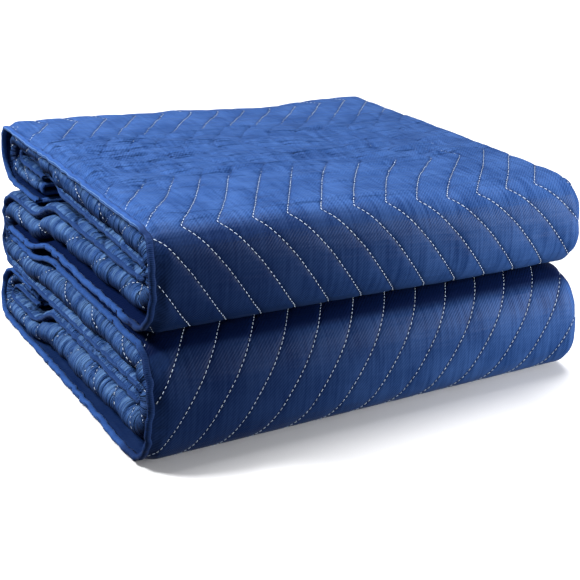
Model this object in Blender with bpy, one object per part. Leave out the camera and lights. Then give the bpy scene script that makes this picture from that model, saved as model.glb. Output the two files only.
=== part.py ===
"""A quilted moving blanket, folded in four across its width and then back and forth in four passes.

Metres, +Z up. X runs along the folded block's front, from its left end to its right end, Y from the
front to the back. The origin is under the middle of the block, on the surface that it lies on.
"""

import math

import bmesh
import bpy
import numpy as np

# Size of the folded block as the table of turns draws it, the height to which its left end is lifted
# and how much deeper than the table it lies
BLOCK_LENGTH = 0.475
BLOCK_HEIGHT = 0.220
LEFT_END_HEIGHT = 0.236
DEPTH_GAIN = 1.0185

# The cloth and its quilting
CLOTH_HALF = 0.00475
LEAST_ROOM_SHARE = 0.115
LINE_PITCH = 0.036
LINE_START = -0.0067
GROOVE_SHARE = 0.58
GROOVE_FADE = 0.030
HEM_TAPER = 0.014
HEM_SHARE = 0.46

# The quilting lines run zigzag along the strip: each row is where they turn back, with how far to the
# right of their start they lie there. The rows on the top are measured back from the row along the
# top front edge, which lies at TOP_EDGE_SHARE of the upper front turn. Columns: before edge, offset.
TOP_ROWS = ((0.700, 0.120), (0.560, 0.020), (0.414, 0.128), (0.263, 0.013), (0.137, 0.100), (0.0, 0.0))
TOP_EDGE_SHARE = 0.25
# Between the two front turns the rows lie evenly and turn back by CHEVRON_REACH
CHEVRON_REACH = 0.105
CHEVRON_STEP = 0.138
HIDDEN_ROWS = 3
# From the lower front turn on they are measured from where it begins. Columns: after turn, offset.
LOW_ROWS = ((-0.010, 0.100), (0.150, 0.0), (0.288, 0.105), (0.426, 0.0), (0.564, 0.105), (0.702, 0.0))

# The bound edges: a tape folded over each of the cloth's four edges, where the cloth is sewn thin
TAPE_WIDTH = 0.010
TAPE_THICK = 0.0010
TAPE_GAP = 0.00040
CORNER_GAP = 0.0020

# How the block leans and sags: the right end is lower, and the top dips towards the right
RIGHT_END_DROP = 0.081
TOP_DIP = 0.0045
TOP_DIP_AT = 0.33
TOP_DIP_WIDTH = 0.09
# The foot of the block reaches further out than its top, by this much at each end
FOOT_REACH = 0.013

# Where the tucked ends begin to push their neighbours apart, measured in Y
SPREAD_FROM = 0.050
SPREAD_TO = 0.125

# Columns of the table of turns
TURN_COLUMNS = ("side", "y", "z", "near_top", "near_low", "near_reach",
                "far_top", "far_low", "far_reach", "square_top", "square_low")
# One row for each turn of the folded strip, in the order in which the cloth runs through them.
# A turn is a nest of squared ellipses round (y, z): near is its innermost face, far its outermost.
TURNS = {
    "top_tuck": (1, 0.194, 0.1840, 0.0030, 0.0030, 0.008, 0.0350, 0.0350, 0.036, 2.3, 2.2),
    "upper_front": (-1, -0.178, 0.1710, 0.0015, 0.0015, 0.005, 0.0505, 0.0505, 0.052, 3.1, 2.4),
    "middle_back": (1, 0.184, 0.1020, 0.0015, 0.0015, 0.004, 0.0445, 0.0415, 0.046, 2.3, 2.3),
    "lower_front": (-1, -0.178, 0.0585, 0.0015, 0.0015, 0.005, 0.0570, 0.0585, 0.050, 2.4, 2.6),
    "bottom_tuck": (1, 0.196, 0.0310, 0.0025, 0.0015, 0.006, 0.0275, 0.0310, 0.032, 2.2, 2.3),
}
TOP_TUCK_END = 0.125
BOTTOM_TUCK_END = 0.130
# The middle back turn is pinched at its height's middle, so that two folds show there
PINCH_DEPTH = 0.20
PINCH_WIDTH = 0.30

# Columns of the table of the left end
LEFT_COLUMNS = ("turn", "when", "outer_hem", "roll", "inner_hem", "swell_up", "swell_down")
# Where the outer hem, the roll between the second and third layers and the inner hem end,
# measured in X from the block's left end, as the strip enters and leaves each turn.
LEFT_ENDS = (
    ("top_tuck", 0.0, 0.012, 0.016, 0.020, 0.0002, 0.0002),
    ("top_tuck", 1.0, 0.003, 0.012, 0.036, 0.0002, 0.0006),
    ("upper_front", 0.0, 0.001, 0.009, 0.018, 0.0020, 0.0035),
    ("upper_front", 1.0, 0.002, 0.008, 0.020, 0.0020, 0.0030),
    ("middle_back", 0.0, 0.004, 0.008, 0.028, 0.0006, 0.0008),
    ("middle_back", 1.0, 0.008, 0.006, 0.022, 0.0005, 0.0006),
    ("lower_front", 0.0, 0.006, 0.007, 0.014, 0.0024, 0.0040),
    ("lower_front", 1.0, 0.003, 0.012, 0.022, 0.0018, 0.0038),
    ("bottom_tuck", 0.0, 0.004, 0.009, 0.016, 0.0002, 0.0004),
    ("bottom_tuck", 1.0, 0.010, 0.014, 0.018, 0.0002, 0.0002),
)
SWELL_WIDTH = 0.060
# The inner layers stand back from the skin inside the two front turns
HOLLOW_SHARE = 0.08
HOLLOW_LEFT_SHARE = 0.12
HOLLOW_LEFT_WIDTH = 0.10
HOLLOW_MARGIN = 0.35

# Mesh steps
PASS_STEP = 0.075
SPREAD_STEP = 0.019
TURN_STEP = 0.0175
PATH_SAMPLES = 240
FOLD_STEPS = {"outside": 5, "inside": 5}
PLAIN_STEPS = 3
EDGE_KEEP = 0.006

# Which stretches of the strip show their quilting, between a turn's ends with a margin at each.
# Columns: layer, from turn, before, to turn, after.
SHOWN_STRETCHES = (
    (1, "top_tuck", -0.010, "upper_front", 0.030),
    (1, "lower_front", 0.030, "lower_front", -0.030),
    (4, "middle_back", 0.020, "middle_back", 0.020),
)


def row_of(table, columns, key):
    """One row of a table as a dictionary."""
    return dict(zip(columns, table[key]))


def smooth(t):
    """A soft step from 0 to 1."""
    t = np.clip(t, 0.0, 1.0)
    return t * t * (3.0 - 2.0 * t)


def squared_arc(turn, which, angle):
    """Points (y, z) on a turn's near or far curve. The angle runs from pi/2 at the top to -pi/2."""
    up = np.sin(angle) >= 0.0
    power = np.where(up, 2.0 / turn["square_top"], 2.0 / turn["square_low"])
    height = np.where(up, turn[which + "_top"], turn[which + "_low"])
    reach = np.full_like(angle, turn[which + "_reach"])
    y = turn["y"] + turn["side"] * reach * np.abs(np.cos(angle)) ** power
    z = turn["z"] + height * np.sign(np.sin(angle)) * np.abs(np.sin(angle)) ** power
    return np.stack([y, z], axis=1)


def turn_curves(name):
    """The inner and the outer face of the strip through one turn, each as points (y, z)."""
    turn = row_of(TURNS, TURN_COLUMNS, name)
    down = np.linspace(math.pi / 2, -math.pi / 2, PATH_SAMPLES)
    rising = name in ("top_tuck", "bottom_tuck")
    angle = down[::-1] if rising else down
    near = squared_arc(turn, "near", angle)
    far = squared_arc(turn, "far", angle)
    if name == "middle_back":
        pinch = PINCH_DEPTH * np.exp(-(angle / PINCH_WIDTH) ** 2)
        far[:, 0] -= pinch * turn["far_reach"]
        return far, near
    return near, far


def pass_curve(start, end):
    """One face of the strip from a turn to the next: level, but for the stretch that spreads."""
    y = np.linspace(start[0], end[0], PATH_SAMPLES)
    front, back = (start, end) if start[0] < end[0] else (end, start)
    share = smooth((y - SPREAD_FROM) / (SPREAD_TO - SPREAD_FROM))
    z = front[1] + (back[1] - front[1]) * share
    return np.stack([y, z], axis=1)


def tuck_curve(y_from, y_to, z):
    """One face of a tucked end: a level stretch."""
    y = np.linspace(y_from, y_to, PATH_SAMPLES // 4)
    return np.stack([y, np.full_like(y, z)], axis=1)


def build_path():
    """The strip's inner and outer face along the whole fold, the length run so far and each turn's span."""
    turns = {name: turn_curves(name) for name in TURNS}
    names = list(TURNS)
    inner = [tuck_curve(TOP_TUCK_END, TURNS["top_tuck"][1], turns["top_tuck"][0][0, 1])]
    outer = [tuck_curve(TOP_TUCK_END, TURNS["top_tuck"][1], turns["top_tuck"][1][0, 1])]
    spans = {}
    for index, name in enumerate(names):
        count = sum(len(piece) for piece in inner)
        spans[name] = (count, count + PATH_SAMPLES - 1)
        inner.append(turns[name][0])
        outer.append(turns[name][1])
        if index + 1 < len(names):
            following = turns[names[index + 1]]
            inner.append(pass_curve(turns[name][0][-1], following[0][0])[1:-1])
            outer.append(pass_curve(turns[name][1][-1], following[1][0])[1:-1])
    last = turns["bottom_tuck"]
    inner.append(tuck_curve(TURNS["bottom_tuck"][1], BOTTOM_TUCK_END, last[0][-1, 1])[1:])
    outer.append(tuck_curve(TURNS["bottom_tuck"][1], BOTTOM_TUCK_END, last[1][-1, 1])[1:])
    inner = np.concatenate(inner)
    outer = np.concatenate(outer)
    step = np.maximum(np.linalg.norm(np.diff(inner, axis=0), axis=1),
                      np.linalg.norm(np.diff(outer, axis=0), axis=1))
    run = np.concatenate([[0.0], np.cumsum(step)])
    spans = {name: (run[a], run[b]) for name, (a, b) in spans.items()}
    return inner, outer, run, spans


INNER, OUTER, RUN, SPANS = build_path()
TOTAL_RUN = RUN[-1]


def along(values, run):
    """A path value, given at every sample, at one length run."""
    return np.array([np.interp(run, RUN, values[:, axis]) for axis in range(values.shape[1])])


def chevron_rows():
    """The rows in which the quilting lines turn back: (length run, sideways offset)."""
    begin, end = SPANS["upper_front"]
    edge = begin + TOP_EDGE_SHARE * (end - begin)
    low_begin = SPANS["lower_front"][0]
    rows = [(edge - before_edge, offset) for before_edge, offset in TOP_ROWS]
    first = edge + CHEVRON_STEP
    hidden = (low_begin + LOW_ROWS[0][0] - first) / (HIDDEN_ROWS + 1)
    rows += [(first + hidden * k, CHEVRON_REACH * float(k % 2 == 0)) for k in range(HIDDEN_ROWS + 1)]
    rows += [(low_begin + after_turn, offset) for after_turn, offset in LOW_ROWS]
    return np.array(rows)


ROWS = chevron_rows()


def chevron(run):
    """How far the quilting lines lie to the right of their start at a length run."""
    return float(np.interp(run, ROWS[:, 0], ROWS[:, 1]))


def left_end(run):
    """The left end's values at a length run, by columns."""
    at = []
    for turn, when, *_ in LEFT_ENDS:
        begin, end = SPANS[turn]
        at.append(begin + when * (end - begin))
    table = np.array([row[2:] for row in LEFT_ENDS])
    return {name: float(np.interp(run, at, table[:, k])) for k, name in enumerate(LEFT_COLUMNS[2:])}


def hollow(run):
    """How far through a front turn a length run is: 1 at its middle and 0 outside it."""
    share = 0.0
    for name in ("upper_front", "lower_front"):
        begin, end = SPANS[name]
        margin = HOLLOW_MARGIN * (end - begin)
        t = (run - begin + margin) / (end - begin + 2.0 * margin)
        if 0.0 < t < 1.0:
            share = max(share, math.sin(math.pi * t) ** 2)
    return share


class Strip:
    """The folded strip's cross-section at one length run: four layers, three folds and two hems."""

    def __init__(self, run):
        self.run = run
        self.inner = along(INNER, run)
        self.outer = along(OUTER, run)
        self.room = float(np.linalg.norm(self.outer - self.inner))
        self.half = min(CLOTH_HALF, LEAST_ROOM_SHARE * self.room)
        self.pitch = (self.room - 2.0 * self.half) / 3.0
        self.left = left_end(run)
        self.hollow = hollow(run)
        self.fold_x = BLOCK_LENGTH - self.pitch / 2 - self.half

    def height(self, layer, x):
        """The height of a layer's middle over the strip's inner face, layer 1 being the skin."""
        x = np.asarray(x, float)
        base = {1: self.room - self.half, 2: self.half + 2 * self.pitch,
                3: self.half + self.pitch, 4: self.half}[layer]
        near = 0.5 + 0.5 * np.cos(math.pi * np.clip((x - self.left["roll"]) / SWELL_WIDTH, 0.0, 1.0))
        swell = {2: self.left["swell_up"], 3: -self.left["swell_down"]}.get(layer, 0.0)
        base = base + swell * near * (1.0 - self.hollow)
        if layer > 1:
            back = HOLLOW_SHARE + HOLLOW_LEFT_SHARE * np.exp(-x / HOLLOW_LEFT_WIDTH)
            base = self.half + (base - self.half) * (1.0 - self.hollow * back)
        return base + np.zeros_like(x)

    def layer(self, number, x):
        """Middle points (x, height), the way side A faces and the flat coordinate along one layer."""
        x = np.asarray(x, float)
        n = self.height(number, x)
        facing = 1.0 if number in (1, 3) else -1.0
        normal = np.stack([np.zeros_like(x), np.full_like(x, facing)], axis=1)
        flat = {1: x, 2: 2 * BLOCK_LENGTH - x, 3: 2 * BLOCK_LENGTH + x, 4: 4 * BLOCK_LENGTH - x}[number]
        return np.stack([x, n], axis=1), normal, flat

    def fold(self, number, share):
        """The same round a fold, from its first layer to the next; share runs from 0 to 1."""
        share = np.asarray(share, float)
        at_left = number == 2
        x = self.left_fold_x() if at_left else self.fold_x
        top = float(self.height(number, x))
        low = float(self.height(number + 1, x))
        radius = (top - low) / 2
        angle = math.pi / 2 - math.pi * share
        way = -1.0 if at_left else 1.0
        out = np.stack([way * np.cos(angle), np.sin(angle)], axis=1)
        middle = np.array([x, (top + low) / 2]) + radius * out
        flat = number * BLOCK_LENGTH + 2 * radius * (share - 0.5)
        return middle, (-out if at_left else out), flat

    def left_fold_x(self):
        """The X of the middle of the roll at the left end."""
        x = self.left["roll"]
        radius = float(self.height(2, x) - self.height(3, x)) / 2
        return x + radius + self.half

    def face(self, middle, normal, flat, side, groove=0.0):
        """World points on a side of the cloth, side A being 1 and side B -1."""
        half = self.half * self.thickness_share(flat, groove)
        point = middle + normal * (side * half)[:, None]
        return self.world(point)

    def thickness_share(self, flat, groove):
        """The cloth's thickness by its flat place: thinner at the hems and along the quilting lines."""
        flat = np.asarray(flat, float)
        to_hem = np.minimum(flat - self.left["outer_hem"], 4 * BLOCK_LENGTH - self.left["inner_hem"] - flat)
        to_edge = np.minimum(to_hem, min(self.run, TOTAL_RUN - self.run))
        full = smooth((to_edge - TAPE_WIDTH) / HEM_TAPER)
        phase = (flat - LINE_START - chevron(self.run)) / LINE_PITCH
        off_line = np.abs(phase - np.round(phase)) * 2.0
        return HEM_SHARE + (1.0 - HEM_SHARE) * full - groove * GROOVE_SHARE * full * (1.0 - off_line)

    def world(self, point):
        """World points from (x, height over the inner face)."""
        share = (point[:, 1] / self.room)[:, None]
        yz = self.inner + (self.outer - self.inner) * share
        return np.column_stack([point[:, 0], yz])


def settle(points):
    """The block's own lean, spread and sag, and its place with the origin under its middle."""
    x = points[:, 0]
    z = points[:, 2]
    lift = LEFT_END_HEIGHT / BLOCK_HEIGHT * (1.0 - RIGHT_END_DROP * x / BLOCK_LENGTH)
    dip = TOP_DIP * np.exp(-((x - TOP_DIP_AT) / TOP_DIP_WIDTH) ** 2) * (z / BLOCK_HEIGHT) ** 2
    spread = FOOT_REACH * (1.0 - z / BLOCK_HEIGHT)
    settled = points.copy()
    settled[:, 0] = x - BLOCK_LENGTH / 2 + spread * (2.0 * x / BLOCK_LENGTH - 1.0)
    settled[:, 1] = points[:, 1] * DEPTH_GAIN
    settled[:, 2] = np.maximum(z * lift - dip, 0.0)
    return settled


def layer_columns(low, high, shift, quilted):
    """X places across a layer: on and midway between the quilting lines, or a few even steps."""
    if not quilted:
        return np.linspace(low, high, PLAIN_STEPS + 1)
    half_pitch = LINE_PITCH / 2
    first = math.ceil((low + EDGE_KEEP - shift) / half_pitch)
    last = math.floor((high - EDGE_KEEP - shift) / half_pitch)
    inside = shift + half_pitch * np.arange(first, last + 1)
    return np.concatenate([[low], inside, [high]])


def quilting(run, layer):
    """How deep a layer's quilting is there, from 0 to 1; only where its side A shows."""
    depth = 0.0
    for shown_layer, from_turn, before, to_turn, after in SHOWN_STRETCHES:
        inside = min(run - SPANS[from_turn][0] + before, SPANS[to_turn][1] + after - run)
        if layer == shown_layer:
            depth = max(depth, min(1.0, inside / GROOVE_FADE))
    return depth


def ring(run):
    """The cloth's outline at one length run: for each side, its stretches, each of keys and world points.

    The stretches are the band under the tape, a layer, a fold and so on to the last hem's band.
    """
    strip = Strip(run)
    left = strip.left_fold_x()
    right = strip.fold_x
    band_1 = strip.left["outer_hem"] + TAPE_WIDTH
    band_4 = strip.left["inner_hem"] + TAPE_WIDTH
    spans = {1: (band_1, right), 2: (right, left), 3: (left, right), 4: (right, band_4)}
    stretches = []
    for side in (1.0, -1.0):
        row = []
        for number, (begin, end) in spans.items():
            phase = LINE_START + chevron(run) if number == 1 else -LINE_START - chevron(run)
            groove = quilting(run, number) if side > 0 else 0.0
            x = layer_columns(min(begin, end), max(begin, end), phase % LINE_PITCH, groove > 0.0)
            x = x if begin < end else x[::-1]
            keys = np.abs(x - x[0])
            if number in (1, 4):
                keys = (x - phase) * (1.0 if number == 1 else -1.0)
            row.append((keys, strip.face(*strip.layer(number, x), side, groove)))
            if number < 4:
                outside = (side > 0) != (number == 2)
                share = np.linspace(0.0, 1.0, FOLD_STEPS["outside" if outside else "inside"] + 1)
                row.append((share, strip.face(*strip.fold(number, share), side)))
        ends = np.array([0.0, 1.0])
        first = strip.layer(1, np.array([strip.left["outer_hem"], band_1]))
        last = strip.layer(4, np.array([band_4, strip.left["inner_hem"]]))
        row = [(ends, strip.face(*first, side))] + row + [(ends, strip.face(*last, side))]
        if side < 0:
            row = [(-keys[::-1], points[::-1]) for keys, points in row[::-1]]
        stretches.append(row)
    return stretches


def spread_edges():
    """The lengths run at which each pass between two turns begins and ends to spread."""
    names = list(SPANS)
    edges = []
    for before, after in zip(names[:-1], names[1:]):
        inside = (RUN > SPANS[before][1]) & (RUN < SPANS[after][0])
        y = OUTER[inside, 0]
        order = np.argsort(y)
        edges += [np.interp(edge, y[order], RUN[inside][order]) for edge in (SPREAD_FROM, SPREAD_TO)]
    return [float(edge) for edge in edges]


def run_stations():
    """The lengths run at which the cloth's outline is set out."""
    stations = {0.0, TOTAL_RUN}
    turn_edges = {value for span in SPANS.values() for value in span}
    spreads = spread_edges()
    edges = sorted([0.0, TOTAL_RUN] + list(turn_edges) + spreads)
    for begin, end in zip(edges[:-1], edges[1:]):
        turning = any(abs(begin - span[0]) < 1e-9 for span in SPANS.values())
        spreading = begin in spreads and end in spreads
        step = TURN_STEP if turning else SPREAD_STEP if spreading else PASS_STEP
        count = max(1, round((end - begin) / step))
        stations.update(np.linspace(begin, end, count + 1).tolist())
    for edge in (TAPE_WIDTH, TAPE_WIDTH + HEM_TAPER):
        stations.update((edge, TOTAL_RUN - edge))
    fixed = set(spreads) | {0.0, TOTAL_RUN, TAPE_WIDTH, TOTAL_RUN - TAPE_WIDTH}
    ordered = sorted(stations)
    for row in ROWS[:, 0]:
        nearest = min(range(len(ordered)), key=lambda k: abs(ordered[k] - row))
        if ordered[nearest] in fixed:
            ordered.append(float(row))
        else:
            ordered[nearest] = float(row)
    return sorted(run for run in set(ordered) if 0.0 <= run <= TOTAL_RUN)


def zip_stretch(faces, ids_a, keys_a, ids_b, keys_b):
    """Triangles between two rows of points whose keys both rise."""
    i = j = 0
    while i < len(ids_a) - 1 or j < len(ids_b) - 1:
        ahead_a = keys_a[i + 1] if i < len(ids_a) - 1 else math.inf
        ahead_b = keys_b[j + 1] if j < len(ids_b) - 1 else math.inf
        if ahead_a <= ahead_b:
            faces.append((ids_a[i], ids_a[i + 1], ids_b[j]))
            i += 1
        else:
            faces.append((ids_a[i], ids_b[j + 1], ids_b[j]))
            j += 1


def lay_ring(points, stretches):
    """Adds one outline's points to the list; gives back each side's stretches as (ids, keys)."""
    sides = []
    for row in stretches:
        side = []
        last = None
        for keys, places in row:
            fresh = places if last is None else places[1:]
            begin = len(points)
            points.extend(fresh)
            ids = list(range(begin, begin + len(fresh)))
            ids = ids if last is None else [last] + ids
            side.append((ids, keys))
            last = ids[-1]
        sides.append(side)
    return sides


def cloth_mesh():
    """Points and triangles of the whole folded cloth."""
    points = []
    faces = []
    before = None
    first = None
    for run in run_stations():
        now = lay_ring(points, ring(run))
        if before is not None:
            for side_a, side_b in zip(before, now):
                for (ids_a, keys_a), (ids_b, keys_b) in zip(side_a, side_b):
                    zip_stretch(faces, ids_a, keys_a, ids_b, keys_b)
            for a, b in ((0, 1), (1, 0)):
                rim_a = (before[a][-1][0][-1], before[b][0][0][0])
                rim_b = (now[a][-1][0][-1], now[b][0][0][0])
                faces.append((rim_a[0], rim_a[1], rim_b[0]))
                faces.append((rim_a[1], rim_b[1], rim_b[0]))
        first = first or now
        before = now
    for side_a, side_b in (first, before):
        for (top, _), (low, _) in zip(side_a, side_b[::-1]):
            shares = [np.linspace(0.0, 1.0, len(ids)) for ids in (top, low)]
            zip_stretch(faces, top, shares[0], low[::-1], shares[1])
    return np.array(points), faces


def tape_outline(half):
    """A tape's U over an edge of the cloth: (distance into the cloth, height over its middle)."""
    skin = half + TAPE_GAP
    nose = 0.5 * half
    over = skin + TAPE_THICK
    beyond = TAPE_GAP + TAPE_THICK
    width = TAPE_WIDTH - TAPE_GAP
    return [(width, over), (0.0, over), (-beyond, nose), (-beyond, -nose), (0.0, -over), (width, -over),
            (width, -skin), (0.0, -skin), (-TAPE_GAP, -nose), (-TAPE_GAP, nose), (0.0, skin), (width, skin)]


def side_tape_ring(run, layer):
    """The outline of the tape over a side hem at one length run."""
    strip = Strip(run)
    hem = strip.left["outer_hem"] if layer == 1 else strip.left["inner_hem"]
    height = float(strip.height(layer, hem))
    outline = tape_outline(HEM_SHARE * strip.half)
    return strip.world(np.array([(hem + into, height + up) for into, up in outline]))


def end_tape_rings(run):
    """The outlines of the tape over an end of the cloth, all the way through the four layers."""
    strip = Strip(run)
    outline = tape_outline(HEM_SHARE * strip.half)
    hem_1 = strip.left["outer_hem"] + TAPE_WIDTH + CORNER_GAP
    hem_4 = strip.left["inner_hem"] + TAPE_WIDTH + CORNER_GAP
    left = strip.left_fold_x()
    right = strip.fold_x
    spans = {1: (hem_1, right), 2: (right, left), 3: (left, right), 4: (right, hem_4)}
    places = []
    for number in (1, 2, 3, 4):
        middle, normal, _ = strip.layer(number, np.linspace(*spans[number], PLAIN_STEPS + 1))
        places += list(zip(middle[:-1], normal[:-1]))
        if number < 4:
            middle, normal, _ = strip.fold(number, np.linspace(0.0, 1.0, FOLD_STEPS["outside"] + 1))
            places += list(zip(middle[:-1], normal[:-1]))
        else:
            places.append((middle[-1], normal[-1]))
    rings = []
    for place, way in places:
        points = strip.world(np.array([place + up * way for _, up in outline]))
        points[:, 1] += [into for into, _ in outline]
        rings.append(points)
    return rings


def tape_mesh(rings):
    """Points and faces of a tape, from its outlines in turn."""
    points = np.concatenate(rings)
    count = len(rings[0])
    faces = []
    for row in range(len(rings) - 1):
        for k in range(count):
            following = (k + 1) % count
            a = row * count
            faces.append((a + k, a + following, a + count + following, a + count + k))
    for a in (0, (len(rings) - 1) * count):
        for k in range(count // 2 - 1):
            faces.append((a + k, a + k + 1, a + count - 2 - k, a + count - 1 - k))
    return points, faces


def cloth_material(name, colour, roughness):
    """A plain woven finish."""
    material = bpy.data.materials.new(name)
    material.use_nodes = True
    shader = material.node_tree.nodes["Principled BSDF"]
    shader.inputs["Base Color"].default_value = colour
    shader.inputs["Roughness"].default_value = roughness
    shader.inputs["Metallic"].default_value = 0.0
    material.diffuse_color = colour
    return material


def add_solid(name, points, faces, material):
    """One closed body with its faces turned outwards."""
    mesh = bpy.data.meshes.new(name)
    mesh.from_pydata(settle(points).tolist(), [], faces)
    body = bmesh.new()
    body.from_mesh(mesh)
    bmesh.ops.recalc_face_normals(body, faces=body.faces)
    if body.calc_volume(signed=True) < 0.0:
        bmesh.ops.reverse_faces(body, faces=body.faces)
    body.to_mesh(mesh)
    body.free()
    mesh.materials.append(material)
    obj = bpy.data.objects.new(name, mesh)
    bpy.context.scene.collection.objects.link(obj)
    return obj


def main():
    """Builds the cloth and the tape over its four edges."""
    for obj in list(bpy.data.objects):
        bpy.data.objects.remove(obj)
    blue = cloth_material("quilted_blue_cloth", (0.015, 0.075, 0.32, 1.0), 0.55)
    tape = cloth_material("blue_binding_tape", (0.05, 0.09, 0.30, 1.0), 0.6)
    add_solid("quilted_cloth", *cloth_mesh(), blue)
    for name, layer in (("skin_side_binding", 1), ("inner_side_binding", 4)):
        add_solid(name, *tape_mesh([side_tape_ring(run, layer) for run in run_stations()]), tape)
    for name, run in (("top_end_binding", 0.0), ("bottom_end_binding", TOTAL_RUN)):
        add_solid(name, *tape_mesh(end_tape_rings(run)), tape)


main()
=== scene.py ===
"""The looks of a quilted moving blanket, folded in four across and then back and forth.

The cloth is one sheet through every fold. A place on it has a run, measured along the long way of the
folding, and a flat place, measured across it from the hem that ends on the outermost layer.
"""

import logging
import math
from collections.abc import Callable
from dataclasses import dataclass, field
from enum import Enum

import bpy
import numpy as np
from mathutils import Matrix, Vector

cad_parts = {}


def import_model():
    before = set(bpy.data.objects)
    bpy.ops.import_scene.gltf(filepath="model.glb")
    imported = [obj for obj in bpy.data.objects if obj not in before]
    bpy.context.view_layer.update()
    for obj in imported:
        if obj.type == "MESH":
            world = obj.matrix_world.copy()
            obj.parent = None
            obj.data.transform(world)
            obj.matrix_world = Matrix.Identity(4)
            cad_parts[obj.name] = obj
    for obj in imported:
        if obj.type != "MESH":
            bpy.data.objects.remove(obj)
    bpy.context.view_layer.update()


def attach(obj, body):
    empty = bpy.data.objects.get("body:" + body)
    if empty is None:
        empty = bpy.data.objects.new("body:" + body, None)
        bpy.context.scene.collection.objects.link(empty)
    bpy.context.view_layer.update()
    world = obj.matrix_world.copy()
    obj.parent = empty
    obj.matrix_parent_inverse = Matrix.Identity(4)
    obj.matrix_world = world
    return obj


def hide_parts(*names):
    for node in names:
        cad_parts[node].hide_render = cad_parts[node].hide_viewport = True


LOG = logging.getLogger("blanket")
PHOTO_PIXELS = 580.0


class Side(Enum):
    """The two faces of the cloth: the quilted face that shows, and the one inside the rolls."""

    FACE = 1.0
    LINING = -1.0


class Place(Enum):
    """The layers of the folded strip and the folds between them, in their order across the cloth."""

    LAYER_1 = 1
    FOLD_1 = 2
    LAYER_2 = 3
    ROLL = 4
    LAYER_3 = 5
    FOLD_3 = 6
    LAYER_4 = 7


LAYERS = {Place.LAYER_1: 1, Place.LAYER_2: 2, Place.LAYER_3: 3, Place.LAYER_4: 4}
FOLDS = {Place.FOLD_1: 1, Place.ROLL: 2, Place.FOLD_3: 3}


def smooth(t: np.ndarray | float) -> np.ndarray:
    """A soft step from 0 to 1."""
    t = np.clip(t, 0.0, 1.0)
    return t * t * (3.0 - 2.0 * t)


def bump(value: np.ndarray | float, low: float, high: float, fade: float) -> np.ndarray:
    """One between low and high, and softly nothing beyond the fade at each end."""
    return smooth((value - low) / fade + 1.0) * smooth((high - value) / fade + 1.0)


@dataclass(frozen=True)
class Unevenness:
    """Smooth random heights from -1 to 1 on a lattice with a fixed seed."""

    seed: int
    size: int = 128

    def __post_init__(self) -> None:
        """Fills the lattice."""
        table = np.random.default_rng(self.seed).uniform(-1.0, 1.0, (self.size, self.size))
        object.__setattr__(self, "table", table)

    def at(self, a: np.ndarray | float, b: np.ndarray | float) -> np.ndarray:
        """The height at lattice coordinates.

        Args:
            a: first coordinates, in lattice steps.
            b: second coordinates, in lattice steps.

        Returns:
            The heights, as many as the coordinates.
        """
        a, b = np.broadcast_arrays(np.asarray(a, float), np.asarray(b, float))
        row = np.floor(a).astype(int)
        column = np.floor(b).astype(int)
        s = smooth(a - row)
        t = smooth(b - column)
        corner = [[self.table[(row + i) % self.size, (column + j) % self.size] for j in (0, 1)]
                  for i in (0, 1)]
        near = corner[0][0] * (1.0 - t) + corner[0][1] * t
        far = corner[1][0] * (1.0 - t) + corner[1][1] * t
        return near * (1.0 - s) + far * s


@dataclass(frozen=True)
class Turn:
    """A nest of squared ellipses round (y, z): the strip's innermost and outermost face in one turn."""

    side: int
    y: float
    z: float
    near_top: float
    near_low: float
    near_reach: float
    far_top: float
    far_low: float
    far_reach: float
    square_top: float
    square_low: float

    def arc(self, which: str, angle: np.ndarray) -> np.ndarray:
        """Points (y, z) on the near or far curve; the angle is pi/2 at the top and -pi/2 at the bottom."""
        up = np.sin(angle) >= 0.0
        power = np.where(up, 2.0 / self.square_top, 2.0 / self.square_low)
        height = np.where(up, getattr(self, which + "_top"), getattr(self, which + "_low"))
        reach = getattr(self, which + "_reach")
        y = self.y + self.side * reach * np.abs(np.cos(angle)) ** power
        z = self.z + height * np.sign(np.sin(angle)) * np.abs(np.sin(angle)) ** power
        return np.stack([y, z], axis=1)


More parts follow.
